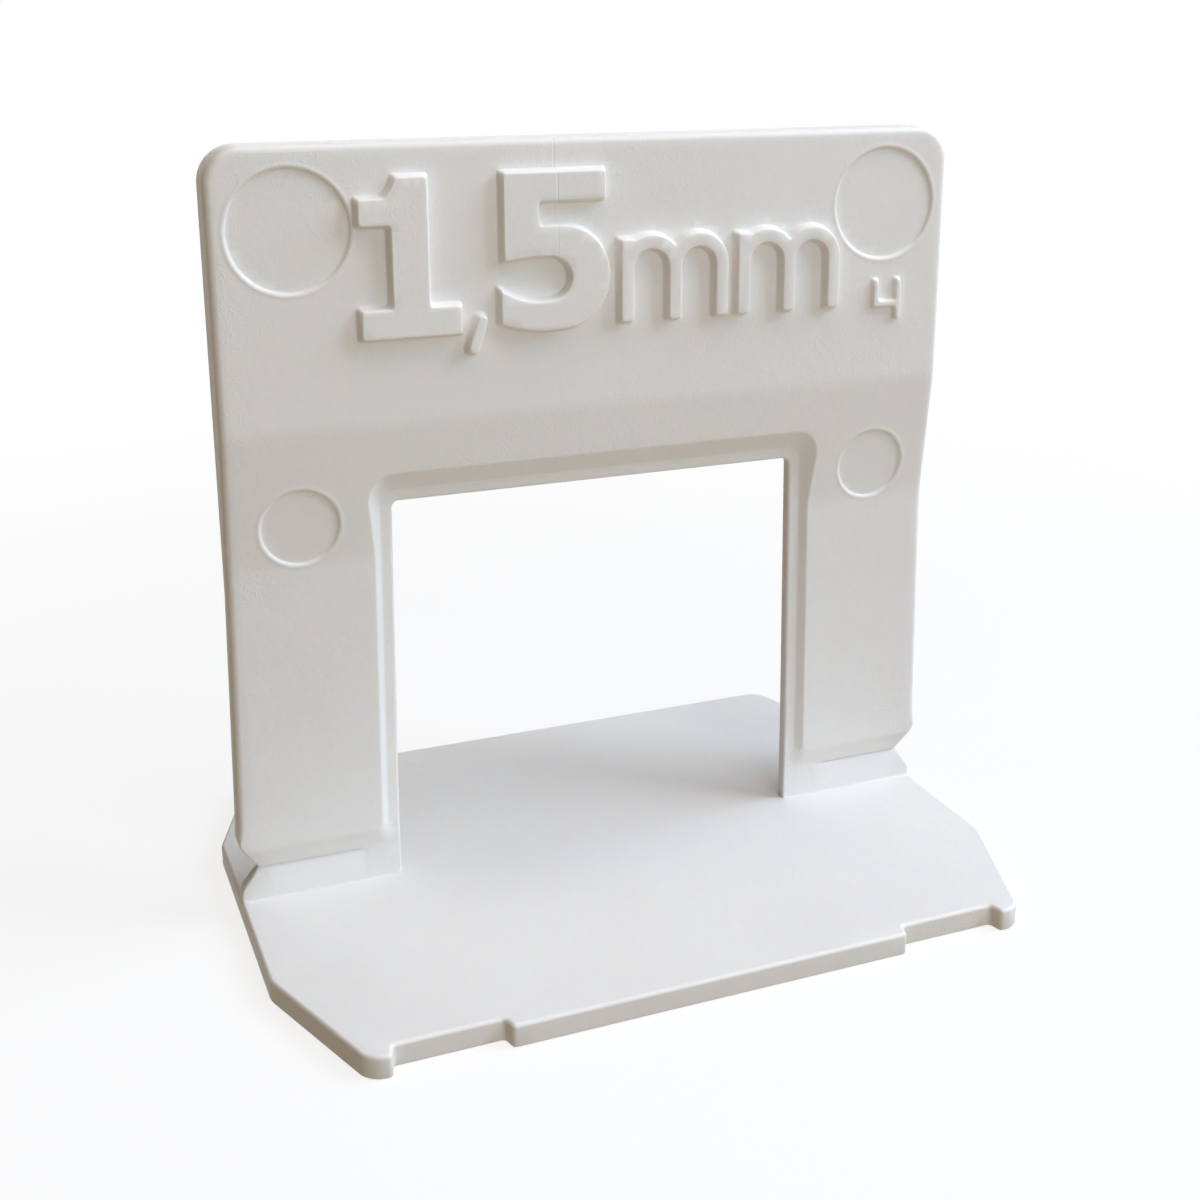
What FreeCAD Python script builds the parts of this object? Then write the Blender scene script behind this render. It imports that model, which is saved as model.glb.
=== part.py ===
import FreeCAD, Part
import math
import os

# Tile levelling clip, moulded in one piece from off-white plastic, in millimetres.
# A flat base plate goes under the two tiles. A thin upright plate stands in the joint between
# them, and a wedge driven through its window pulls the tiles level. Afterwards the upright is
# knocked off at its weakened neck and the base stays under the floor.
# X runs along the upright's width, -Y is its marked face, +Z is up.
# The origin is the middle of the base's underside.

Vec = FreeCAD.Vector

# Base plate, whose sides are flush with the feet of the legs
base_depth = 30.5
base_thickness = 1.2
base_side_length = 14.5
base_corner_inset = 2.9
base_vertex_radius = 2.0
base_corner_radius = 1.2
base_edge_radius = 0.2

# Shallow recesses in the front edge, between the centre tab and the corner tabs
corner_tab_width = 1.1
recess_width = 5.7
recess_depth = 0.75
recess_draft = 0.2

# Upright plate: legs as thick as the joint, with a thicker upper part, splayed to the base
plate_width = 39.8
leg_splay = 0.3
splay_top_rise = 16.8
plate_rise = 39.0
plate_corner_radius = 1.8
plate_edge_radius = 0.25
joint_width = 1.5
leg_front = 0.0
upper_step = 0.8
ramp_bottom_rise = 18.3
ramp_top_rise = 25.3

# Window for the wedge, in a thin web inside a bevelled frame
window_width = 23.2
window_side_taper = 0.25
window_rise = 20.95
window_corner_radius = 0.35
web_thickness = 0.75
ledge_width = 0.65
ledge_corner_radius = 0.6
leg_bevel_ratio = 1.0
head_bevel_ratio = 1.2

# Weakened neck at the foot of the legs
neck_rise = 3.02
neck_slope_height = 1.0
notch_depth = 1.0
notch_top_rise = 3.4
notch_apex_rise = 1.9
notch_bottom_rise = 0.6
groove_length = 6.4
groove_height = 0.3
groove_depth = 0.12

# Shallow round marks left by the mould's pins
upper_pin_radius = 3.05
upper_pin_inset = 3.8
upper_pin_drop = 4.0
lower_pin_radius = 2.05
lower_pin_inset = 3.7
lower_pin_rise = 20.3
pin_mark_depth = 0.15
pin_mark_draft = 0.1

# Raised joint-width mark: a figure one, a comma, a figure five and two letters m
mark_relief = 0.55
mark_top_margin = 1.58
mark_left_margin = 6.97
digit_height = 7.82
digit_stem = 1.92
digit_bar = 1.5
one_foot_width = 5.07
one_flag_thickness = 1.35
one_flag_drop = 1.0
one_flag_curve = 0.3
one_flag_curve_rise = 0.36
five_left_margin = 14.2
five_width = 5.45
five_overshoot = 0.13
five_bowl_radius = 2.65
five_bowl_overhang = 0.25
five_bowl_turn = 70.0
five_counter_radius = 1.08
five_counter_shift = 0.55
five_counter_sag = 0.12
five_shoulder_drop = 0.2
five_shoulder_sag = 0.03
five_tail_reach = 0.2
five_tail_foot = 0.35
five_tail_rise = 0.75
comma_left_margin = 12.86
comma_radius = 0.3
comma_length = 1.45
comma_drop = 0.8
comma_lean = 19.0
m_left_margins = (20.42, 27.01)
m_pitch = 2.67
m_stroke = 0.77
m_height = 4.47

# Small raised cavity number beside the mark
cavity_relief = 0.3
cavity_right_margin = 2.7
cavity_foot_drop = 0.9
cavity_width = 1.7
cavity_height = 2.2
cavity_stroke = 0.32
cavity_bar_height = 0.7

# How far the cutting tools reach past the faces that they cut
tool_overrun = 0.5

# Levels and planes that follow from the sizes above
base_top = base_thickness
plate_top = base_top + plate_rise
leg_back = leg_front + joint_width
upper_front = leg_front - upper_step
web_inset = (joint_width - web_thickness) / 2
web_front = leg_front + web_inset
web_back = leg_back - web_inset
window_top = base_top + window_rise
mark_baseline = plate_top - mark_top_margin - digit_height
plate_left = -plate_width / 2
plate_right = plate_width / 2
foot_left = plate_left - leg_splay
foot_right = plate_right + leg_splay
foot_width = foot_right - foot_left


def path_face(start, segments, place):
    """Closed face from a start point and segments, each an end point or a (via, end) arc."""
    edges = []
    here = start
    for segment in segments:
        if isinstance(segment[0], tuple):
            via, end = segment
            edges.append(Part.Arc(place(*here), place(*via), place(*end)).toShape())
        else:
            end = segment
            edges.append(Part.LineSegment(place(*here), place(*end)).toShape())
        here = end
    return Part.Face(Part.Wire(edges))


def polygon_face(points, place):
    """Closed straight-sided face through the points."""
    return path_face(points[0], points[1:] + points[:1], place)


def on_plane_x(x):
    """Placer of (y, z) points on the plane at x."""
    return lambda y, z: Vec(x, y, z)


def on_plane_y(y):
    """Placer of (x, z) points on the plane at y."""
    return lambda x, z: Vec(x, y, z)


def both_sides(shape):
    """The shape and its mirror image across the middle of the width."""
    return [shape, shape.mirror(Vec(0, 0, 0), Vec(1, 0, 0))]


def vertical_edges_at(solid, x, y):
    """Upright edges of the solid at the four points (+-x, +-y) that it has there."""
    found = []
    for edge in solid.Edges:
        low, high = edge.Vertexes[0].Point, edge.Vertexes[-1].Point
        upright = abs(low.x - high.x) < 1e-6 and abs(low.y - high.y) < 1e-6
        if upright and abs(abs(low.x) - x) < 1e-6 and abs(abs(low.y) - y) < 1e-6:
            found.append(edge)
    return found


def base_plate():
    """Eight-sided base plate with the two recesses in its front edge."""
    half_width = foot_right
    half_side = base_side_length / 2
    half_front = half_width - base_corner_inset
    half_depth = base_depth / 2
    corners = [
        (half_width, -half_side), (half_width, half_side),
        (half_front, half_depth), (-half_front, half_depth),
        (-half_width, half_side), (-half_width, -half_side),
        (-half_front, -half_depth), (half_front, -half_depth),
    ]
    face = polygon_face(corners, lambda x, y: Vec(x, y, 0))
    plate = face.extrude(Vec(0, 0, base_thickness))
    plate = plate.makeFillet(base_vertex_radius, vertical_edges_at(plate, half_width, half_side))
    plate = plate.makeFillet(base_corner_radius, vertical_edges_at(plate, half_front, half_depth))
    plate = plate.cut(both_sides(front_recess()))
    top_edges = [edge for edge in plate.Edges if lies_at_height(edge, base_thickness)]
    return plate.makeFillet(base_edge_radius, top_edges)


def lies_at_height(edge, height):
    """True for an edge that lies level at the height."""
    return all(abs(vertex.Point.z - height) < 1e-6 for vertex in edge.Vertexes)


def front_recess():
    """Tool for the recess on the right, with slightly drafted ends."""
    far = foot_right - base_corner_inset - corner_tab_width
    near = far - recess_width
    front = -base_depth / 2
    back = front + recess_depth
    outline = [
        (near, front - tool_overrun), (near, front), (near + recess_draft, back),
        (far - recess_draft, back), (far, front), (far, front - tool_overrun),
    ]
    face = polygon_face(outline, lambda x, y: Vec(x, y, -tool_overrun))
    return face.extrude(Vec(0, 0, base_thickness + 2 * tool_overrun))


def plate_blank():
    """Upright plate with a flat back, a ramp at its front and rounded outer edges."""
    thickness_form = polygon_face(thickness_profile(), on_plane_x(foot_left))
    width_form = path_face(*width_outline(), on_plane_y(upper_front))
    blank = thickness_form.extrude(Vec(foot_width, 0, 0)).common(
        width_form.extrude(Vec(0, leg_back - upper_front, 0)))
    rim = [edge for edge in blank.Edges if is_rim(edge)]
    return blank.makeFillet(plate_edge_radius, rim)


def thickness_profile():
    """Section of the upright from front to back, as (y, z) points."""
    foot = base_thickness / 2
    return [
        (leg_front, foot), (leg_front, base_top + ramp_bottom_rise),
        (upper_front, base_top + ramp_top_rise), (upper_front, plate_top),
        (leg_back, plate_top), (leg_back, foot),
    ]


def width_outline():
    """Start point and segments of the upright's outline seen from the front."""
    foot = base_thickness / 2
    splay_foot = base_top + notch_top_rise
    splay_top = base_top + splay_top_rise
    shoulder = plate_top - plate_corner_radius
    inset = plate_right - plate_corner_radius
    reach = plate_corner_radius * math.sqrt(0.5)
    return (foot_left, foot), [
        (foot_right, foot), (foot_right, splay_foot),
        (plate_right, splay_top), (plate_right, shoulder),
        ((inset + reach, shoulder + reach), (inset, plate_top)),
        (-inset, plate_top),
        ((-inset - reach, shoulder + reach), (plate_left, shoulder)),
        (plate_left, splay_top), (foot_left, splay_foot),
        (foot_left, foot),
    ]


def is_rim(edge):
    """True for the edges of the front and back faces that follow the plate's outline."""
    first, last = [vertex.Point for vertex in (edge.Vertexes[0], edge.Vertexes[-1])]
    level = abs(first.z - last.z) < 1e-6
    at_top = abs(first.z - plate_top) < 1e-6 and abs(first.x - last.x) > 1e-6
    return at_top or not level


def window_opening():
    """Tool for the window itself, from the base's top to under the plate's head."""
    half = window_width / 2
    outline = frame_outline(half, window_top, window_corner_radius)
    wire = path_face(*outline, on_plane_y(upper_front - tool_overrun))
    return wire.extrude(Vec(0, joint_width + upper_step + 2 * tool_overrun, 0))


def frame_outline(half, top, radius):
    """Start point and segments of a frame that narrows from the neck to its rounded corners."""
    reach = radius * (1 - math.sqrt(0.5))
    top_half = half - window_side_taper
    taper_foot = base_top + neck_rise
    return (-half, base_top), [
        (half, base_top), (half, taper_foot),
        (top_half, top - radius),
        ((top_half - reach, top - reach), (top_half - radius, top)),
        (-top_half + radius, top),
        ((-top_half + reach, top - reach), (-top_half, top - radius)),
        (-half, taper_foot), (-half, base_top),
    ]


def bevelled_pocket(web_face, outer_face):
    """Tool that clears the web's ledge at one face of the plate and bevels out to that face."""
    run = abs(outer_face - web_face)
    half = window_width / 2 + ledge_width
    top = window_top + ledge_width
    inner = frame_outline(half, top, ledge_corner_radius)
    outer = frame_outline(
        half + leg_bevel_ratio * run,
        top + head_bevel_ratio * run,
        ledge_corner_radius + leg_bevel_ratio * run,
    )
    inner_wire = path_face(*inner, on_plane_y(web_face)).OuterWire
    outer_wire = path_face(*outer, on_plane_y(outer_face)).OuterWire
    return Part.makeLoft([inner_wire, outer_wire], True, True)


def neck_relief(leg_face, web_face):
    """Tool that thins the legs at one face, sloping in from the leg to the neck."""
    outside = leg_face + math.copysign(tool_overrun, leg_face - web_face)
    slope_top = base_top + neck_rise
    slope_foot = slope_top - neck_slope_height
    outline = [
        (outside, base_top), (outside, slope_top), (leg_face, slope_top),
        (web_face, slope_foot), (web_face, base_top),
    ]
    width = foot_width + 2 * tool_overrun
    return polygon_face(outline, on_plane_x(-width / 2)).extrude(Vec(width, 0, 0))


def neck_groove(web_face, inward):
    """Tool for the fine score line at the foot of the neck's slope, on the right leg."""
    level = base_top + neck_rise - neck_slope_height
    outline = [
        (web_face - inward * tool_overrun, level),
        (web_face, level),
        (web_face + inward * groove_depth, level - groove_height / 2),
        (web_face, level - groove_height),
        (web_face - inward * tool_overrun, level - groove_height),
    ]
    length = groove_length + tool_overrun
    return polygon_face(outline, on_plane_x(foot_right - groove_length)).extrude(Vec(length, 0, 0))


def side_notch():
    """Tool for the notch in the outer edge of the right leg."""
    outside = foot_right + tool_overrun
    apex = foot_right - notch_depth
    outline = [
        (outside, base_top + notch_top_rise), (foot_right, base_top + notch_top_rise),
        (apex, base_top + notch_apex_rise),
        (foot_right, base_top + notch_bottom_rise), (outside, base_top + notch_bottom_rise),
    ]
    depth = joint_width + upper_step + 2 * tool_overrun
    return polygon_face(outline, on_plane_y(upper_front - tool_overrun)).extrude(Vec(0, depth, 0))


def pin_mark(x, z, radius, face):
    """Tool for one shallow round pin mark, sunk into the front at the given face."""
    floor_radius = radius - pin_mark_draft
    slope = pin_mark_draft / pin_mark_depth
    mouth_radius = radius + slope * tool_overrun
    height = pin_mark_depth + tool_overrun
    return Part.makeCone(
        mouth_radius, floor_radius, height, Vec(x, face - tool_overrun, z), Vec(0, 1, 0))


def lower_pin_mark():
    """Tool for the lower right pin mark, tilted to lie along the ramp."""
    x = plate_right - lower_pin_inset
    z = base_top + lower_pin_rise
    angle = math.degrees(math.atan2(upper_step, ramp_top_rise - ramp_bottom_rise))
    mark = pin_mark(x, z, lower_pin_radius, leg_front)
    mark.rotate(Vec(x, leg_front, base_top + ramp_bottom_rise), Vec(1, 0, 0), angle)
    return mark


def raised(face, relief):
    """A mark's face raised from the upper front, with its root inside the plate."""
    root = face.copy()
    root.translate(Vec(0, upper_front + plate_edge_radius, 0))
    return root.extrude(Vec(0, -relief - plate_edge_radius, 0))


def mark_place(left, baseline):
    """Placer of a mark's own (across, up) points on the plane y = 0."""
    return lambda across, up: Vec(left + across, 0, baseline + up)


def figure_one():
    """The figure one with its flag and foot."""
    stem_left = (one_foot_width - digit_stem) / 2
    stem_right = stem_left + digit_stem
    flag_top = digit_height - one_flag_drop
    flag_foot = flag_top - one_flag_thickness
    flag_end = stem_left - one_flag_curve
    hook = stem_left + one_flag_curve
    segments = [
        (one_foot_width, 0), (one_foot_width, digit_bar), (stem_right, digit_bar),
        (stem_right, digit_height), (hook, digit_height),
        ((stem_left, flag_top + one_flag_curve_rise), (flag_end, flag_top)),
        (0, flag_top), (0, flag_foot), (stem_left, flag_foot),
        (stem_left, digit_bar), (0, digit_bar), (0, 0),
    ]
    place = mark_place(plate_left + mark_left_margin, mark_baseline)
    return raised(path_face((0, 0), segments, place), mark_relief)


def figure_five():
    """The figure five: a bar, a short stem and a round bowl that ends in a tail."""
    bowl = five_bowl_radius
    centre_x = five_width - bowl + five_bowl_overhang
    centre_z = bowl - five_overshoot
    bowl_top = centre_z + bowl
    counter_x = centre_x - five_counter_shift
    counter_low = centre_z - five_counter_radius
    counter_high = centre_z + five_counter_radius
    turn = math.radians(-five_bowl_turn)
    bowl_foot = (centre_x + bowl * math.cos(turn), centre_z + bowl * math.sin(turn))
    segments = [
        (five_width, digit_height), (five_width, digit_height - digit_bar),
        (digit_stem, digit_height - digit_bar), (digit_stem, bowl_top), (centre_x, bowl_top),
        ((centre_x + bowl, centre_z), bowl_foot),
        ((digit_stem, -five_overshoot), (-five_tail_reach, five_tail_foot)),
        (-five_tail_reach, counter_low + five_tail_rise),
        ((digit_stem / 2, counter_low + five_counter_sag), (counter_x, counter_low)),
        ((counter_x + five_counter_radius, centre_z), (counter_x, counter_high)),
        ((digit_stem / 2, counter_high - five_shoulder_sag), (0, counter_high - five_shoulder_drop)),
        (0, digit_height),
    ]
    place = mark_place(plate_left + five_left_margin, mark_baseline)
    return raised(path_face((0, digit_height), segments, place), mark_relief)


def comma():
    """The slanted comma between the figures, with round ends."""
    foot = -comma_drop - comma_length / 2
    head = foot + comma_length
    segments = [
        ((0, foot - comma_radius), (comma_radius, foot)),
        (comma_radius, head),
        ((0, head + comma_radius), (-comma_radius, head)),
        (-comma_radius, foot),
    ]
    face = path_face((-comma_radius, foot), segments, mark_place(0, comma_length / 2))
    face.rotate(Vec(0, 0, 0), Vec(0, 1, 0), comma_lean)
    face.translate(Vec(plate_left + comma_left_margin, 0, mark_baseline))
    return raised(face, mark_relief)


def letter_m(left_margin):
    """A letter m: three stems joined by two round arches."""
    half = m_stroke / 2
    outer = (m_pitch + m_stroke) / 2
    spring = m_height - outer
    place = mark_place(plate_left + left_margin, mark_baseline)
    pieces = []
    for stem, height in enumerate((m_height - half / 2, spring, spring)):
        left = stem * m_pitch
        corners = [(left, 0), (left + m_stroke, 0), (left + m_stroke, height), (left, height)]
        pieces.append(polygon_face(corners, place))
    for arch in range(2):
        centre = half + m_pitch * (arch + 0.5)
        pieces.append(arch_face(centre, spring, outer, outer - m_stroke, place))
    solids = [raised(piece, mark_relief) for piece in pieces]
    return solids[0].fuse(solids[1:])


def arch_face(centre, spring, outer, inner, place):
    """Half ring that stands on the spring line."""
    segments = [
        ((centre, spring + outer), (centre + outer, spring)),
        (centre + inner, spring),
        ((centre, spring + inner), (centre - inner, spring)),
        (centre - outer, spring),
    ]
    return path_face((centre - outer, spring), segments, place)


def cavity_number():
    """The small open-topped figure four beside the mark."""
    place = mark_place(plate_right - cavity_right_margin - cavity_width,
                       mark_baseline - cavity_foot_drop)
    bar_top = cavity_bar_height + cavity_stroke
    right = cavity_width - cavity_stroke
    outline = [
        (0, cavity_bar_height), (right, cavity_bar_height), (right, 0), (cavity_width, 0),
        (cavity_width, cavity_height), (right, cavity_height), (right, bar_top),
        (cavity_stroke, bar_top), (cavity_stroke, cavity_height), (0, cavity_height),
    ]
    return raised(polygon_face(outline, place), cavity_relief)


def upright():
    """The upright plate with its window, neck, pin marks and raised marks."""
    upper_pin = pin_mark(plate_right - upper_pin_inset, plate_top - upper_pin_drop,
                         upper_pin_radius, upper_front)
    cuts = [
        window_opening(),
        bevelled_pocket(web_front, upper_front - tool_overrun),
        bevelled_pocket(web_back, leg_back + tool_overrun),
        neck_relief(leg_front, web_front),
        neck_relief(leg_back, web_back),
    ]
    for tool in (side_notch(), neck_groove(web_front, 1), neck_groove(web_back, -1),
                 upper_pin, lower_pin_mark()):
        cuts += both_sides(tool)
    plate = plate_blank()
    for tool in cuts:
        plate = plate.cut(tool)
    marks = [figure_one(), comma(), figure_five(), cavity_number()]
    marks += [letter_m(margin) for margin in m_left_margins]
    return plate.fuse(marks)


def levelling_clip():
    """The whole clip as one solid."""
    return base_plate().fuse(upright()).removeSplitter()


clip = levelling_clip()
os.makedirs("parts", exist_ok=True)
clip.exportStep("parts/levelling_clip.step")
print("solids", len(clip.Solids), "valid", clip.isValid(), "volume", round(clip.Volume, 2))
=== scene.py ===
import math

import bmesh
import bpy
import numpy as np
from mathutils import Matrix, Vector
from mathutils.geometry import delaunay_2d_cdt


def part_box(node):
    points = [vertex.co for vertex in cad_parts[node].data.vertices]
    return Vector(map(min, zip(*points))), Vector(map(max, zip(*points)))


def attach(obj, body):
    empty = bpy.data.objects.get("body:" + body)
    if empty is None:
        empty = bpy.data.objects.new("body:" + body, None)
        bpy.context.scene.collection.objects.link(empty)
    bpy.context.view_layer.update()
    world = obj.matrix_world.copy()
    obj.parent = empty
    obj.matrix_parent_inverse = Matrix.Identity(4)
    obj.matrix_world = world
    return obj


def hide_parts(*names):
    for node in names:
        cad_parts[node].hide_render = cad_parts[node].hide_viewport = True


# A tile levelling clip, moulded in one piece from off-white plastic.
# Its mesh is worked out in millimetres, in the frame's own axes: X along the upright, -Y towards
# the marked face, +Z up. The CAD node gives the overall sizes and the outlines of the raised marks.

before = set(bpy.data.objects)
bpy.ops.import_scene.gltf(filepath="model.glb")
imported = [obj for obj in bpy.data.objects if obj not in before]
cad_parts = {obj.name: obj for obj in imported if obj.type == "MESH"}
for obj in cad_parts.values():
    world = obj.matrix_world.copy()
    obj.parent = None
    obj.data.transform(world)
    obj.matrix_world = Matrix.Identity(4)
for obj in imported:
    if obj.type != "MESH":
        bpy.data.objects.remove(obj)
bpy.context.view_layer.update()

MM = 0.001
NODE = "levelling_clip"
_, node_high = (np.array(corner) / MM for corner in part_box(NODE))

# Base plate
half_width = node_high[0]
half_depth = node_high[1]
base_top = 1.2
base_side_half = 7.25
base_corner_inset = 2.9
base_vertex_radius = 2.0
base_corner_radius = 1.2
base_edge_radius = 0.2
base_foot_radius = 0.1
corner_tab_width = 1.1
recess_width = 5.7
recess_depth = 0.75
recess_draft = 0.2
recess_radius = 0.22
tab_radius = 0.24

# Upright
plate_top = node_high[2]
plate_right = 19.9
plate_corner_radius = 1.8
leg_back = 1.5
upper_step = 0.8
ramp_bottom = 19.5
ramp_top = 26.5
knee_blend = 0.3
splay_top = 18.0
root = 0.6
outer_rim = 0.36
window_rim = 0.17
neck_rim = 0.12
rim_growth = 1.2

# Window, its ledge and its bevelled frame
window_half = 11.6
window_taper = 0.25
window_top = 22.15
window_radius = 0.35
web_inset = 0.375
ledge_width = 0.65
ledge_radius = 0.55
leg_bevel_ratio = 1.0
head_bevel_ratio = 1.2
crease_blend = 0.06
bevel_blend = 0.06

# Weakened neck, with its notch and score line
neck_top = 4.22
neck_slope_height = 1.0
neck_blend = 0.16
notch_top = 4.6
notch_apex = 3.1
notch_depth = 1.0
notch_foot = 1.8
notch_foot_radius = 1.2
notch_apex_radius = 0.08
notch_top_radius = 0.6
splay_radius = 20.0
foot_inset = 0.01
foot_fillet = 0.1
score_end = 13.8
score_height = 0.34
score_depth = 0.17
score_peak = 0.6
score_fade = 0.35

# Round marks of the mould's pins: across, up, radius, depth
pin_marks = (
    (16.1, 36.2, 2.98, 0.15),
    (16.2, 21.5, 1.99, 0.12),
)
pin_wall = 0.08
pin_blend = 0.035
pin_lip = 0.02
pin_lip_away = 0.12
pin_lip_width = 0.07

# Raised marks: drafted walls, rounded at the top and filleted at the foot
mark_tops = (-1.35, -1.1)
wall_slope = 4.0
wall_blend = 0.055
mark_swell = 0.03
mark_softness = 6
mark_grid_step = 0.05
mark_margin = 0.6

# Faint weld line down from the upright's top edge
weld_across = -2.85
weld_foot = 33.5
weld_fade = 3.0
weld_half_width = 0.07

# Spacing of the mesh's points, and what counts as straight, too sharp or too close
arc_step = 0.12
arc_turn = math.radians(12)
straight = math.radians(89.5)
sharpest_mitre = 0.35
outline_step = 0.45
base_outline_step = 1.0
row_step = 0.33
row_reach = 19.8
grid_step = 0.5
grid_reach = 19.75
grid_foot = 5.0
point_margin = 0.12
chain_margin = 0.03
chain_tolerance = 0.006
window_slack = 0.01
frame_step = 0.4
frame_clearance = 0.25
frame_corner_step = 0.03
bevel_reach = 4.0
halvings = 30
rim_steps = 5
foot_steps = 3
pin_ring_sides = 96
pin_ring_insets = (-0.34, -0.24, -0.16, -0.11, -0.06, 0, 0.06,
                   pin_wall - 0.05, pin_wall, pin_wall + 0.06)
weld_gap = 0.003
sliver = 0.001

# Studio, in metres
floor_half = 3.0
lamp_distance = 0.35
lamp_size = 0.22
lamp_aim = (0, 0, 0.02)


def bend(t, blend):
    """Zero up to t = 0 and t beyond it, with a round bend that reaches blend to each side."""
    t = np.asarray(t, float)
    middle = (t + blend) ** 2 / (4 * blend)
    return np.where(t < -blend, 0.0, np.where(t > blend, t, middle))


def blended_max(a, b, blend):
    """The greater of two depths, rounded where they meet."""
    near = np.maximum(blend - np.abs(a - b), 0)
    return np.maximum(a, b) + near ** 2 / (4 * blend)


def arc(centre, radius, start, end, step=arc_step):
    """Points along an arc, its angles in degrees."""
    turn = math.radians(end - start)
    count = max(2, int(abs(turn) * radius / step), int(abs(turn) / arc_turn))
    angles = np.linspace(math.radians(start), math.radians(end), count + 1)
    return [(centre[0] + radius * math.cos(a), centre[1] + radius * math.sin(a)) for a in angles]


def rounded(corners):
    """Points of a closed outline whose corners are given as (across, up, radius)."""
    points = []
    for index, (x, y, radius) in enumerate(corners):
        here = np.array((x, y))
        before = np.array(corners[index - 1][:2]) - here
        after = np.array(corners[(index + 1) % len(corners)][:2]) - here
        before /= np.linalg.norm(before)
        after /= np.linalg.norm(after)
        half = math.acos(max(-1.0, min(1.0, before @ after))) / 2
        if radius == 0 or half > straight:
            points.append((x, y))
            continue
        reach = radius / math.tan(half)
        middle = before + after
        centre = here + middle / np.linalg.norm(middle) * radius / math.sin(half)
        first = here + before * reach - centre
        last = here + after * reach - centre
        start = math.degrees(math.atan2(first[1], first[0]))
        turn = math.degrees(math.atan2(last[1], last[0])) - start
        turn = (turn + 180) % 360 - 180
        points += arc(centre, radius, start, start + turn)
    return points


def divided(points, step):
    """The closed outline with its long runs divided to at most the step."""
    result = []
    for here, there in zip(points, points[1:] + points[:1]):
        here, there = np.array(here), np.array(there)
        count = max(1, math.ceil(np.linalg.norm(there - here) / step))
        result += [here + (there - here) * k / count for k in range(count)]
    return np.array(result)


def outward(loop):
    """Mitred outward directions at the points of a closed outline that runs anticlockwise."""
    edge = np.roll(loop, -1, 0) - loop
    edge /= np.linalg.norm(edge, axis=1)[:, None]
    normal = np.stack((edge[:, 1], -edge[:, 0]), 1)
    both = normal + np.roll(normal, 1, 0)
    return both / np.maximum((both * np.roll(normal, 1, 0)).sum(1), sharpest_mitre)[:, None]


def mirrored(points):
    """The same points across the middle of the width, in the opposite order."""
    return [(-x, *rest) for x, *rest in reversed(points)]


class Marks:
    """The raised marks: outlines from the CAD node, and smoothed distances to them on a grid."""

    def __init__(self, top):
        self.relief = -upper_step - top
        self.half_wall = self.relief / wall_slope / 2
        self.segments = outline_at(top)
        low = self.segments.min((0, 1)) - mark_margin
        high = self.segments.max((0, 1)) + mark_margin
        self.low = low
        self.shape = [int(math.ceil(size / mark_grid_step)) + 1 for size in high - low]
        steps = [np.arange(count) * mark_grid_step for count in self.shape]
        across, up = np.meshgrid(*steps, indexing="ij")
        self.field = smoothed(self.distances(across + low[0], up + low[1])) - mark_swell

    def distances(self, x, z):
        """Distance to the outlines, negative inside them."""
        nearest = np.full(x.shape, 1e9)
        inside = np.zeros(x.shape, bool)
        for (ax, az), (bx, bz) in self.segments:
            dx, dz = bx - ax, bz - az
            along = np.clip(((x - ax) * dx + (z - az) * dz) / (dx * dx + dz * dz), 0, 1)
            nearest = np.minimum(nearest, (x - ax - along * dx) ** 2 + (z - az - along * dz) ** 2)
            if dz:
                crosses = (az > z) != (bz > z)
                inside ^= crosses & (x < ax + (z - az) * dx / dz)
        return np.where(inside, -1, 1) * np.sqrt(nearest)

    def at(self, x, z):
        """Smoothed distance at any points."""
        i = np.clip((x - self.low[0]) / mark_grid_step, 0, self.shape[0] - 1.001)
        j = np.clip((z - self.low[1]) / mark_grid_step, 0, self.shape[1] - 1.001)
        a, b = i.astype(int), j.astype(int)
        s, t = i - a, j - b
        field = self.field
        near = field[a, b] * (1 - s) * (1 - t) + field[a + 1, b] * s * (1 - t)
        return near + field[a, b + 1] * (1 - s) * t + field[a + 1, b + 1] * s * t

    def height(self, x, z):
        """How far the marks stand out of the plate."""
        distance = self.at(x, z)
        top_edge = bend(distance + self.half_wall, wall_blend)
        foot = bend(distance - self.half_wall, wall_blend)
        return self.relief - wall_slope * (top_edge - foot)

    def chains(self):
        """Lines of points along the walls, from the rounded top edge to the foot."""
        levels = [side * self.half_wall + share * wall_blend
                  for side in (-1, 1) for share in (-1.1, -0.6, -0.2, 0.2, 0.6, 1.1)]
        return [chain for level in levels for chain in self.contour(level)]

    def contour(self, level):
        """Chains of points where the gridded distance passes the level."""
        field = self.field - level
        above = field > 0
        links = {}
        corners = ((0, 0), (1, 0), (1, 1), (0, 1))
        mixed = above[:-1, :-1].astype(int) + above[1:, :-1] + above[1:, 1:] + above[:-1, 1:]
        for i, j in zip(*np.nonzero((mixed > 0) & (mixed < 4))):
            crossed = []
            for (a, b), (c, d) in zip(corners, corners[1:] + corners[:1]):
                first, last = sorted(((i + a, j + b), (i + c, j + d)))
                if above[first] != above[last]:
                    crossed.append((first, last))
            for first, last in zip(crossed[::2], crossed[1::2]):
                links.setdefault(first, []).append(last)
                links.setdefault(last, []).append(first)
        chains = []
        while links:
            key, onward = next(iter(links.items()))
            chain = [key]
            while onward:
                following = onward.pop()
                links[following].remove(chain[-1])
                if not links[chain[-1]]:
                    del links[chain[-1]]
                chain.append(following)
                onward = links.get(following, [])
            links.pop(chain[-1], None)
            points = np.array([self.crossing(field, *pair) for pair in chain])
            chains.append(thinned(points))
        return chains

    def crossing(self, field, first, last):
        """Point between two neighbours on the grid where the field is zero."""
        share = field[first] / (field[first] - field[last])
        step = np.array(last) - np.array(first)
        return self.low + (np.array(first) + step * share) * mark_grid_step


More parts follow.
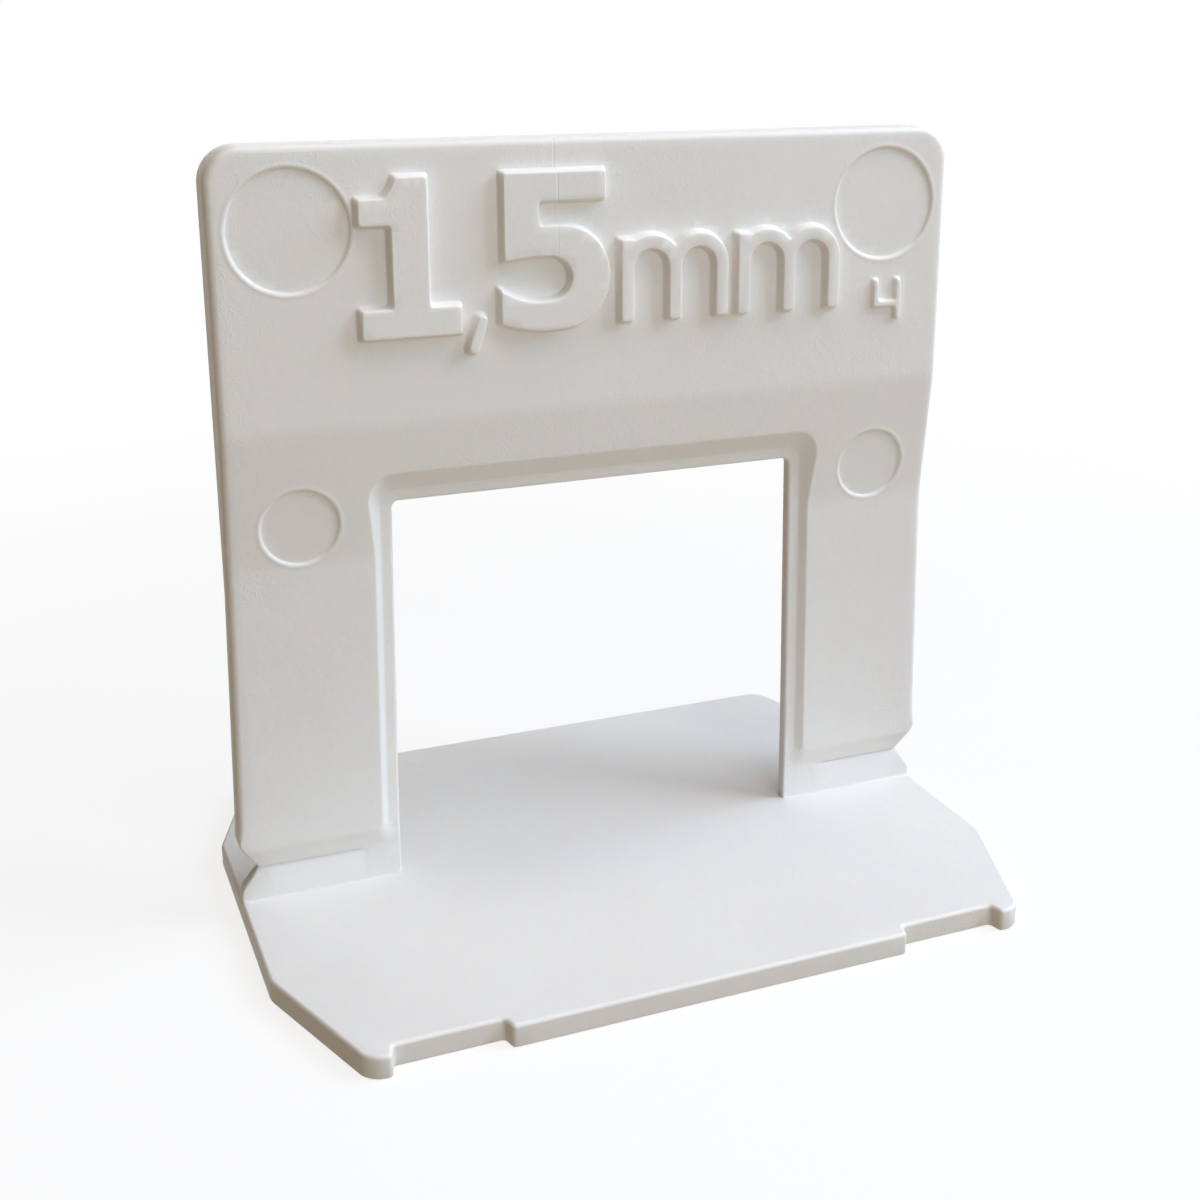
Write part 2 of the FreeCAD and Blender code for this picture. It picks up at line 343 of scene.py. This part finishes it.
def outline_at(level):
    """Edges round the CAD node's flat areas at one level along Y, as pairs of (x, z) points."""
    mesh = bmesh.new()
    mesh.from_mesh(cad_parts[NODE].data)
    bmesh.ops.remove_doubles(mesh, verts=mesh.verts, dist=1e-7)
    flat = {f for f in mesh.faces if all(abs(v.co.y / MM - level) < 1e-3 for v in f.verts)}
    edges = [e for e in mesh.edges if sum(f in flat for f in e.link_faces) == 1]
    pairs = np.array([[(v.co.x / MM, v.co.z / MM) for v in e.verts] for e in edges])
    mesh.free()
    return pairs


def smoothed(field):
    """The gridded field with its creases softened."""
    for _ in range(mark_softness):
        for axis in (0, 1):
            wide = np.concatenate((field.take([0], axis), field, field.take([-1], axis)), axis)
            size = field.shape[axis]
            left, middle, right = (wide.take(range(k, k + size), axis) for k in range(3))
            field = (left + 2 * middle + right) / 4
    return field


def thinned(points):
    """The chain with only the points that its shape needs."""
    keep = np.zeros(len(points), bool)
    keep[0] = keep[-1] = True
    middle = len(points) // 2
    keep[middle] = True
    spans = [(0, middle), (middle, len(points) - 1)]
    while spans:
        first, last = spans.pop()
        if last - first < 2:
            continue
        run = points[last] - points[first]
        offset = points[first + 1:last] - points[first]
        length = max(np.hypot(*run), 1e-9)
        away = np.abs(offset[:, 0] * run[1] - offset[:, 1] * run[0]) / length
        if away.max() > chain_tolerance:
            split = first + 1 + int(away.argmax())
            keep[split] = True
            spans += [(first, split), (split, last)]
    return points[keep]


marks = [Marks(top) for top in mark_tops]


def plate_depth(z):
    """Depth of the upright's front behind the plane of the legs: negative above the ramp."""
    slope = upper_step / (ramp_top - ramp_bottom)
    return slope * (bend(z - ramp_top, knee_blend) - bend(z - ramp_bottom, knee_blend))


def neck_depth(z):
    """How far the neck is set back from the face of the legs."""
    slope = web_inset / neck_slope_height
    slope_foot = neck_top - neck_slope_height
    return slope * (bend(neck_top - z, neck_blend) - bend(slope_foot - z, neck_blend / 2))


def side_taper(z):
    """How far each side of the window has come in from the neck upwards."""
    return window_taper * np.clip((z - neck_top) / (window_top - neck_top), 0, 1)


def pocket_distance(x, z):
    """Distance outside the ledge's outline, and the bevel's run for each unit of depth there."""
    across = np.abs(x) + side_taper(z) - (window_half + ledge_width - ledge_radius)
    up = z - (window_top + ledge_width - ledge_radius)
    a, b = np.maximum(across, 0), np.maximum(up, 0)
    corner = np.hypot(a, b)
    distance = np.where((a > 0) & (b > 0), corner, np.maximum(across, up)) - ledge_radius
    headward = np.where(corner > 0, b * b / np.maximum(corner, 1e-9) ** 2, 0)
    return distance, leg_bevel_ratio + (head_bevel_ratio - leg_bevel_ratio) * headward


def pocket_depth(x, z):
    """Depth of the ledge round the window and of the bevel that rises from it."""
    distance, ratio = pocket_distance(x, z)
    return web_inset - bend(distance, crease_blend) / ratio


def score_profile(x, z):
    """Depth of the score line at the foot of the neck's slope."""
    down = (neck_top - neck_slope_height - z) / score_height
    section = np.minimum(down / score_peak, (1 - down) / (1 - score_peak))
    fade = np.clip((np.abs(x) - score_end) / score_fade, 0, 1)
    return score_depth * np.maximum(section, 0) * np.sqrt(fade * (2 - fade))


def fillet_flare(z):
    """How far the foot's fillet stands out, just above the base."""
    down = np.clip(base_top + foot_fillet - z, 0, 0.95 * foot_fillet)
    return foot_fillet - np.sqrt(foot_fillet ** 2 - down ** 2)


def pin_depth(x, z):
    """Depth of the round pin marks, with a fine lip round each."""
    total = np.zeros(np.shape(x))
    for across, up, radius, depth in pin_marks:
        away = np.hypot(np.abs(x) - across, z - up)
        wall = bend(away - radius + pin_wall, pin_blend) - bend(away - radius, pin_blend)
        lip = np.exp(-((away - radius - pin_lip_away) / pin_lip_width) ** 2)
        total = total + depth * (1 - wall / pin_wall) - pin_lip * lip
    return total


def frame_depth(x, z, face):
    """Depth of one side of the upright: its face, neck, ledge, bevel, score line and foot."""
    depth = blended_max(face + neck_depth(z), pocket_depth(x, z), bevel_blend)
    return depth + score_profile(x, z) - fillet_flare(z)


def front_depth(x, z):
    """Y of the upright's front surface."""
    depth = frame_depth(x, z, plate_depth(z)) + pin_depth(x, z)
    for mark in marks:
        depth = depth - mark.height(x, z)
    return depth


def back_depth(x, z):
    """Y of the upright's back surface, which is plain."""
    return leg_back - frame_depth(x, z, 0.0)


def upright_outline():
    """Closed outline of the upright in (x, z), anticlockwise seen from the front."""
    foot = half_width - foot_inset
    outer = [
        (foot, root, 0), (foot, notch_foot, notch_foot_radius),
        (half_width - notch_depth, notch_apex, notch_apex_radius),
        (half_width, notch_top, notch_top_radius),
        (plate_right, splay_top, splay_radius), (plate_right, plate_top, plate_corner_radius),
    ]
    window = [
        (-window_half, root, 0), (-window_half, neck_top, 0),
        (window_taper - window_half, window_top, window_radius),
    ]
    return divided(rounded(outer + mirrored(outer) + window + mirrored(window)), outline_step)


def rim_radius(z, at_window):
    """Radius of the rounded edge at each point of the outline."""
    outer = neck_rim + (outer_rim - neck_rim) * np.clip((z - notch_top) / rim_growth, 0, 1)
    return np.where(at_window, np.minimum(window_rim, outer), outer)


def inside_points(loop):
    """Points on the face: an even grid, and closer rows where the ramp and the neck bend."""
    rows = [ramp_top + knee_blend * k for k in (-1, -0.5, 0, 0.5, 1)]
    rows += [ramp_bottom + knee_blend * k for k in (-1, -0.5, 0, 0.5, 1)]
    rows += [neck_top + neck_blend * k for k in (-1, -0.4, 0.4, 1)]
    slope_foot = neck_top - neck_slope_height
    rows += [slope_foot + neck_blend * k for k in (0.5, 0.25)]
    rows += [slope_foot - score_height * k for k in (0, score_peak / 2, score_peak, 0.8, 1)]
    rows += [base_top + foot_fillet * k for k in (1, 0.75, 0.5, 0.3, 0.15, 0.05)]
    row = np.arange(-row_reach, row_reach + row_step / 2, row_step)
    grid_row = np.arange(-grid_reach, grid_reach + grid_step / 2, grid_step)
    points = [(x, z) for z in rows for x in row]
    points += [(x, z) for z in np.arange(grid_foot, plate_top, grid_step) for x in grid_row]
    return [p for p in points if clear_of(loop, p, point_margin)]


def clear_of(loop, point, margin):
    """True for a point inside the closed loop and at least the margin from its edge."""
    x, z = point
    here, there = loop, np.roll(loop, -1, 0)
    crosses = (here[:, 1] > z) != (there[:, 1] > z)
    run = there - here
    rise = np.where(run[:, 1] == 0, 1, run[:, 1])
    right = x < here[:, 0] + (z - here[:, 1]) * run[:, 0] / rise
    if (crosses & right).sum() % 2 == 0:
        return False
    along = ((np.array(point) - here) * run).sum(1) / np.maximum((run ** 2).sum(1), 1e-12)
    nearest = here + run * np.clip(along, 0, 1)[:, None]
    return np.hypot(*(nearest - point).T).min() > margin


def frame_chains(face):
    """Chains along the window's frame: the ledge's crease and the bevel's outer edge."""
    turn = ledge_radius / 2
    top_half = window_half - window_taper
    side_levels = np.arange(neck_top + frame_clearance, window_top - turn, frame_step)
    side = [(window_half - side_taper(z), z) for z in side_levels]
    corner = arc((top_half - turn, window_top - turn), turn, 0, 90, frame_corner_step)
    head = [(x, window_top) for x in np.arange(top_half - 2 * turn, -frame_step / 2, -frame_step)]
    path = [(x, z, 1, 0) for x, z in side]
    for k, (x, z) in enumerate(corner):
        angle = math.pi / 2 * k / (len(corner) - 1)
        path.append((x, z, math.cos(angle), math.sin(angle)))
    path += [(x, z, 0, 1) for x, z in head]
    path += [(-x, z, -nx, nz) for x, z, nx, nz in reversed(path[:-1])]
    path = np.array(path)
    start, normal = path[:, :2], path[:, 2:]
    chains = [start + normal * (ledge_width + crease_blend * k) for k in (-1, -0.4, 0.4, 1)]
    near = np.full(len(path), ledge_width)
    far = np.full(len(path), bevel_reach)
    for _ in range(halvings):
        middle = (near + far) / 2
        x, z = (start + normal * middle[:, None]).T
        sunk = pocket_depth(x, z) > face(z)
        near = np.where(sunk, middle, near)
        far = np.where(sunk, far, middle)
    chains += [start + normal * (near + bevel_blend * k)[:, None]
               for k in (-1.4, -0.7, 0, 0.7, 1.4)]
    return chains


def pin_chains():
    """Rings of points along the walls of the pin marks."""
    turn = np.linspace(0, 2 * math.pi, pin_ring_sides + 1)
    rings = []
    for across, up, radius, _ in pin_marks:
        for side in (-1, 1):
            for inset in pin_ring_insets:
                ring = np.stack((np.cos(turn), np.sin(turn)), 1) * (radius - inset)
                rings.append(ring + (side * across, up))
    return rings


def add_face_side(mesh, loop, directions, radii, depth, sign, chains):
    """One side of the upright: a rounded rim and the face inside it. Returns its outer edge."""
    rings = []
    for inset, drop in rounded_edge(1.0, rim_steps):
        ring = loop - directions * (radii * inset)[:, None]
        y = depth(ring[:, 0], ring[:, 1]) + sign * radii * drop
        rings.append([mesh.verts.new(p) for p in np.stack((ring[:, 0], y, ring[:, 1]), 1) * MM])
    for outer, inner in zip(rings, rings[1:]):
        join_rings(mesh, outer, inner)
    inner = loop - directions * radii[:, None]
    spots = list(inner)
    edges = [(k, (k + 1) % len(inner)) for k in range(len(inner))]
    for chain in chains:
        run = []
        for point in chain:
            if clear_of(inner, point, chain_margin):
                run.append(len(spots))
                spots.append(point)
            else:
                run.append(None)
        edges += [pair for pair in zip(run, run[1:]) if None not in pair and pair[0] != pair[1]]
    spots += inside_points(inner)
    flat = [Vector((float(x), float(z))) for x, z in spots]
    places, _, triangles, *_ = delaunay_2d_cdt(flat, edges, [], 1, 1e-5)
    x, z = np.array(places).T
    y = depth(x, z)
    verts = [mesh.verts.new(p) for p in np.stack((x, y, z), 1) * MM]
    for triangle in triangles:
        mesh.faces.new([verts[k] for k in triangle])
    return rings[0]


def rounded_edge(radius, steps):
    """Insets and drops along a rounded edge, from the side to the level face."""
    angles = np.radians(np.linspace(0, 90, steps + 1))
    return [(radius * (1 - math.cos(a)), radius * (1 - math.sin(a))) for a in angles]


def join_rings(mesh, first, second):
    """Band of four-sided faces between two closed rings of the same length."""
    for k in range(len(first)):
        following = (k + 1) % len(first)
        mesh.faces.new((first[k], first[following], second[following], second[k]))


def add_cap(mesh, ring):
    """Flat triangles that fill a closed ring which lies level."""
    flat = [Vector(vert.co[:2]) / MM for vert in ring]
    edges = [(k, (k + 1) % len(flat)) for k in range(len(flat))]
    _, _, triangles, *_ = delaunay_2d_cdt(flat, edges, [], 1, 1e-5)
    for triangle in triangles:
        mesh.faces.new([ring[k] for k in triangle])


def upright_mesh():
    """The upright as one closed mesh, its root inside the base."""
    mesh = bmesh.new()
    loop = upright_outline()
    directions = outward(loop)
    across, up = loop.T
    at_window = (np.abs(across) < window_half + window_slack) & (up < window_top + window_slack)
    radii = rim_radius(up, at_window)
    front_chains = frame_chains(plate_depth) + pin_chains()
    for mark in marks:
        front_chains += mark.chains()
    back_chains = frame_chains(lambda z: np.zeros(np.shape(z)))
    front = add_face_side(mesh, loop, directions, radii, front_depth, 1, front_chains)
    back = add_face_side(mesh, loop, directions, radii, back_depth, -1, back_chains)
    join_rings(mesh, front, back)
    return finished(mesh, "clip_moulding")


def base_mesh():
    """The base plate as one closed mesh with softly rounded edges."""
    front, tab = -half_depth, recess_depth
    corner = half_width - base_corner_inset
    far = corner - corner_tab_width
    near = far - recess_width
    right = [
        (near, front, tab_radius), (near + recess_draft, front + tab, recess_radius),
        (far - recess_draft, front + tab, recess_radius), (far, front, tab_radius),
        (corner, front, base_corner_radius), (half_width, -base_side_half, base_vertex_radius),
        (half_width, base_side_half, base_vertex_radius), (corner, half_depth, base_corner_radius),
    ]
    loop = divided(rounded(right + mirrored(right)), base_outline_step)
    directions = outward(loop)
    lower = rounded_edge(base_foot_radius, foot_steps)[::-1]
    upper = [(inset, base_top - drop) for inset, drop in rounded_edge(base_edge_radius, rim_steps)]
    mesh = bmesh.new()
    rings = []
    for inset, height in lower + upper:
        ring = loop - directions * inset
        level = np.full(len(ring), height)
        rings.append([mesh.verts.new(p) for p in np.stack((ring[:, 0], ring[:, 1], level), 1) * MM])
    for outer, inner in zip(rings, rings[1:]):
        join_rings(mesh, outer, inner)
    for ring in (rings[0], rings[-1]):
        add_cap(mesh, ring)
    return finished(mesh, "base_plate")


def finished(mesh, name):
    """Object of the mesh, welded and with its faces turned outwards."""
    bmesh.ops.remove_doubles(mesh, verts=mesh.verts, dist=weld_gap * MM)
    bmesh.ops.dissolve_degenerate(mesh, edges=mesh.edges, dist=sliver * MM)
    bmesh.ops.recalc_face_normals(mesh, faces=mesh.faces)
    data = bpy.data.meshes.new(name)
    mesh.to_mesh(data)
    mesh.free()
    piece = bpy.data.objects.new(name, data)
    bpy.context.scene.collection.objects.link(piece)
    return piece


def one_moulding():
    """The upright and the base joined into one skin."""
    clip = upright_mesh()
    base = base_mesh()
    union = clip.modifiers.new("moulded_in_one", "BOOLEAN")
    union.operation = "UNION"
    union.solver = "EXACT"
    union.object = base
    joined = clip.evaluated_get(bpy.context.evaluated_depsgraph_get())
    skin = bpy.data.meshes.new_from_object(joined)
    clip.modifiers.remove(union)
    clip.data = skin
    bpy.data.objects.remove(base)
    skin.shade_smooth()
    shading = clip.modifiers.new("even_shading", "WEIGHTED_NORMAL")
    shading.weight = 50
    return clip


class Shade:
    """One output of a shader node. Sums on it add Math nodes."""

    def __init__(self, tree, socket=None):
        self.tree = tree
        self.socket = socket

    def node(self, kind, settings, values, output=0):
        made = self.tree.nodes.new(kind)
        for name, value in settings.items():
            setattr(made, name, value)
        for name, value in values.items():
            if isinstance(value, Shade):
                self.tree.links.new(value.socket, made.inputs[name])
            else:
                made.inputs[name].default_value = value
        return Shade(self.tree, made.outputs[output] if made.outputs else None)

    def math(self, operation, first, second):
        return self.node("ShaderNodeMath", {"operation": operation}, {0: first, 1: second})

    def mix(self, share, first, second):
        return self.node("ShaderNodeMix", {"data_type": "RGBA"}, {0: share, 6: first, 7: second}, 2)

    def __add__(self, other):
        return self.math("ADD", self, other)

    def __radd__(self, other):
        return self.math("ADD", other, self)

    def __sub__(self, other):
        return self.math("SUBTRACT", self, other)

    def __rsub__(self, other):
        return self.math("SUBTRACT", other, self)

    def __mul__(self, other):
        return self.math("MULTIPLY", self, other)

    def __rmul__(self, other):
        return self.math("MULTIPLY", other, self)


def blank_tree(owner):
    """The owner's node tree with nothing but its output."""
    owner.use_nodes = True
    tree = owner.node_tree
    for node in list(tree.nodes):
        if "OUTPUT" not in node.type:
            tree.nodes.remove(node)
    return tree


def output_of(tree):
    return next(node for node in tree.nodes if "OUTPUT" in node.type)


def moulded_plastic():
    """Off-white moulding: faintly mottled, satin, with a fine uneven skin."""
    material = bpy.data.materials.new("off_white_moulding")
    tree = blank_tree(material)
    paint = Shade(tree)
    place = paint.node("ShaderNodeTexCoord", {}, {}, 3)
    clouds = paint.node("ShaderNodeTexNoise", {}, {"Vector": place, "Scale": 140.0, "Detail": 2.0})
    grain = paint.node("ShaderNodeTexNoise", {}, {"Vector": place, "Scale": 1400.0, "Detail": 3.0})
    swell = paint.node("ShaderNodeTexNoise", {}, {"Vector": place, "Scale": 60.0, "Detail": 1.0})
    tint = paint.mix(clouds, (0.80, 0.765, 0.72, 1), (0.84, 0.815, 0.78, 1))
    fine = paint.node("ShaderNodeBump", {}, {"Height": grain, "Strength": 0.16, "Distance": 0.0001})
    skin = paint.node("ShaderNodeBump", {}, {
        "Height": swell, "Strength": 0.3, "Distance": 0.0004, "Normal": fine})
    seam = paint.node("ShaderNodeBump", {}, {
        "Height": weld_line(paint, place), "Strength": 0.4, "Distance": 0.00004, "Normal": skin})
    worn = paint.node("ShaderNodeBump", {}, {
        "Height": scuffs(paint, place), "Strength": 0.3, "Distance": 0.00002, "Normal": seam})
    plastic = paint.node("ShaderNodeBsdfPrincipled", {}, {
        "Base Color": tint, "Roughness": 0.4 + 0.15 * grain, "IOR": 1.49,
        "Subsurface Weight": 0.35, "Subsurface Radius": (1.0, 0.65, 0.4),
        "Subsurface Scale": 0.00025, "Normal": worn})
    tree.links.new(plastic.socket, output_of(tree).inputs["Surface"])
    return material


def scuffs(paint, place):
    """Tiny curved scuffs that lie in patches."""
    twisted = paint.node("ShaderNodeTexNoise", {}, {
        "Vector": place, "Scale": 2600.0, "Detail": 1.0, "Distortion": 2.5})
    fine = paint.node("ShaderNodeMapRange", {"interpolation_type": "SMOOTHSTEP"}, {
        "Value": twisted, "From Min": 0.58, "From Max": 0.7})
    spread = paint.node("ShaderNodeTexNoise", {}, {"Vector": place, "Scale": 90.0, "Detail": 1.0})
    patches = paint.node("ShaderNodeMapRange", {"interpolation_type": "SMOOTHSTEP"}, {
        "Value": spread, "From Min": 0.42, "From Max": 0.62})
    return fine * patches


def weld_line(paint, place):
    """0 along the weld line and 1 away from it."""
    across = paint.node("ShaderNodeSeparateXYZ", {}, {"Vector": place})
    up = paint.node("ShaderNodeSeparateXYZ", {}, {"Vector": place}, 2)
    away = paint.math("ABSOLUTE", across - weld_across * MM, 0.0)
    beside = paint.node("ShaderNodeMapRange", {"interpolation_type": "SMOOTHSTEP"}, {
        "Value": away, "From Min": 0.0, "From Max": weld_half_width * MM})
    below = paint.node("ShaderNodeMapRange", {"interpolation_type": "SMOOTHSTEP"}, {
        "Value": up, "From Min": weld_foot * MM, "From Max": (weld_foot + weld_fade) * MM,
        "To Min": 1.0, "To Max": 0.0})
    return paint.math("MAXIMUM", beside, below)


def seen_directly(paint):
    """1 for camera, glossy and transmission rays, and 0 for the rays that light things."""
    rays = paint.tree.nodes.new("ShaderNodeLightPath")
    kinds = [Shade(paint.tree, rays.outputs[name]) for name in
             ("Is Camera Ray", "Is Glossy Ray", "Is Transmission Ray")]
    return paint.math("MAXIMUM", paint.math("MAXIMUM", kinds[0], kinds[1]), kinds[2])


def pale_floor():
    """Plain pale floor that shows near-white and keeps the clip's soft shadow, and glows a dim warm
    painted bounce light onto the clip.
    """
    data = bpy.data.meshes.new("floor")
    corners = [(-floor_half, -floor_half, 0), (floor_half, -floor_half, 0),
               (floor_half, floor_half, 0), (-floor_half, floor_half, 0)]
    data.from_pydata(corners, [], [(0, 1, 2, 3)])
    floor = bpy.data.objects.new("floor", data)
    bpy.context.scene.collection.objects.link(floor)
    material = bpy.data.materials.new("pale_floor")
    tree = blank_tree(material)
    paint = Shade(tree)
    place = paint.node("ShaderNodeTexCoord", {}, {}, 3)
    away = paint.node("ShaderNodeVectorMath", {"operation": "LENGTH"}, {0: place}, 1)
    far = paint.node("ShaderNodeMapRange", {"interpolation_type": "SMOOTHSTEP"}, {
        "Value": away, "From Min": 0.03, "From Max": 0.12, "To Min": 0.8, "To Max": 1.0})
    matt = paint.node("ShaderNodeBsdfDiffuse", {}, {"Color": (0.95, 0.94, 0.93, 1)})
    white = paint.node("ShaderNodeEmission", {}, {"Color": (1, 1, 1, 1), "Strength": 1.0})
    # Warm glow given only to the rays that light things: painted bounce light from the floor, which
    # is no lamp.
    glow = paint.node("ShaderNodeEmission", {}, {"Color": (0.33, 0.23, 0.106, 1), "Strength": 1.0})
    shown = paint.node("ShaderNodeMixShader", {}, {0: far, 1: matt, 2: white})
    mixed = paint.node("ShaderNodeMixShader", {}, {0: seen_directly(paint), 1: glow, 2: shown})
    tree.links.new(mixed.socket, output_of(tree).inputs["Surface"])
    data.materials.append(material)


def studio_world():
    """White to look at, and a dim warm light on the clip."""
    world = bpy.data.worlds.new("studio")
    bpy.context.scene.world = world
    tree = blank_tree(world)
    paint = Shade(tree)
    dim = paint.node("ShaderNodeBackground", {}, {"Color": (0.02, 0.015, 0.01, 1), "Strength": 1.0})
    white = paint.node("ShaderNodeBackground", {}, {"Color": (1, 1, 1, 1), "Strength": 1.0})
    sky = paint.node("ShaderNodeMixShader", {}, {0: seen_directly(paint), 1: dim, 2: white})
    tree.links.new(sky.socket, output_of(tree).inputs["Surface"])


def soft_lamp(name, direction, strength, colour):
    """Square soft lamp that faces the clip from the given direction."""
    data = bpy.data.lights.new(name, "AREA")
    data.size = lamp_size
    data.energy = strength
    data.color = colour
    lamp = bpy.data.objects.new(name, data)
    toward = Vector(direction).normalized()
    lamp.location = Vector(lamp_aim) + toward * lamp_distance
    lamp.rotation_euler = toward.to_track_quat("Z", "Y").to_euler()
    bpy.context.scene.collection.objects.link(lamp)


def photo_camera():
    """Camera at the photo's angle, to the left of the marked face and a little above."""
    lens_px = 1641.55
    frame_px = 1200
    centre_px = (620.8, 477.3)
    heading, down = math.radians(22.2), math.radians(15.72)
    data = bpy.data.cameras.new("photo_camera")
    data.sensor_width = 36
    data.lens = data.sensor_width * lens_px / frame_px
    data.shift_x = (frame_px / 2 - centre_px[0]) / frame_px
    data.shift_y = (centre_px[1] - frame_px / 2) / frame_px
    data.clip_start = 0.001
    camera = bpy.data.objects.new("photo_camera", data)
    camera.location = Vector((-30.815, -78.084, 45.961)) * MM
    ahead = Vector((math.sin(heading) * math.cos(down), math.cos(heading) * math.cos(down),
                    -math.sin(down)))
    camera.rotation_euler = ahead.to_track_quat("-Z", "Y").to_euler()
    bpy.context.scene.collection.objects.link(camera)
    bpy.context.scene.camera = camera


clip = one_moulding()
clip.data.materials.clear()
clip.data.materials.append(moulded_plastic())
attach(clip, "root")
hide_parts(NODE)

pale_floor()
studio_world()
soft_lamp("key", (0.75, -0.25, 0.60), 1.27, (0.648, 0.80, 1.0))
soft_lamp("above", (0.05, -0.15, 1.0), 0.52, (1.0, 0.878, 0.785))
soft_lamp("front", (0.15, -1.0, 0.25), 0.47, (0.838, 0.918, 1.0))
soft_lamp("back", (0.2, 1.0, 0.0), 0.13, (1.0, 0.98, 0.95))
photo_camera()
bpy.context.scene.view_settings.view_transform = "Standard"
